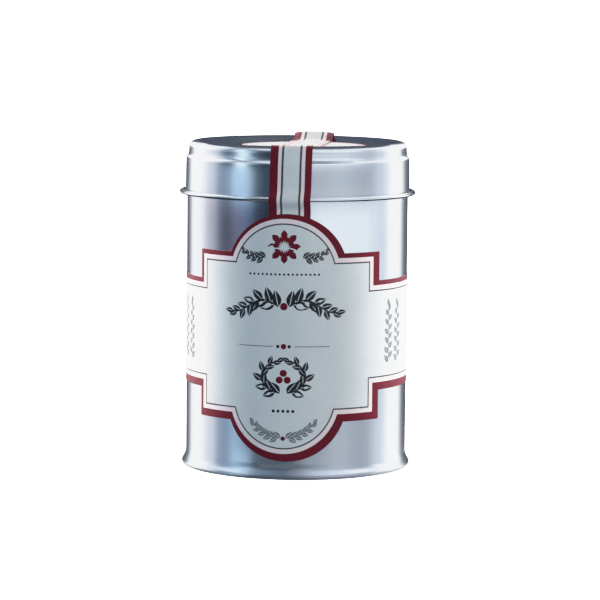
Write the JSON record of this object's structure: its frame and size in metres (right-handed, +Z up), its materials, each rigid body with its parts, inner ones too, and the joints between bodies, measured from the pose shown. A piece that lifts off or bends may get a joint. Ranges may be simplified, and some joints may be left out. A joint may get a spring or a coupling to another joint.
{
  "type": "round slip-lid spice tin",
  "caption": "Round tinplate spice tin with a rolled foot and a slip lid, a die-cut paper label round its body and a paper seal strip over the lid; keeps dried spices closed and dry",
  "frame": {"origin": "on the tin's axis, at the level of the flat ring under its foot", "axes": "+Z up along the tin's axis, -Y out of the front of the body label, +X to the right of the label as it is read"},
  "size_m": [0.064, 0.065, 0.0893],
  "materials": {
    "tinplate": "satin",
    "label_paper": "matte",
    "seal_paper": "matte"
  },
  "bodies": {
    "root": {"tin_body": "tinplate", "bottom_end": "tinplate", "lid": "tinplate", "lid_label": "label_paper", "body_label": "label_paper", "seal_strip": "seal_paper"}
  },
  "joints": []
}
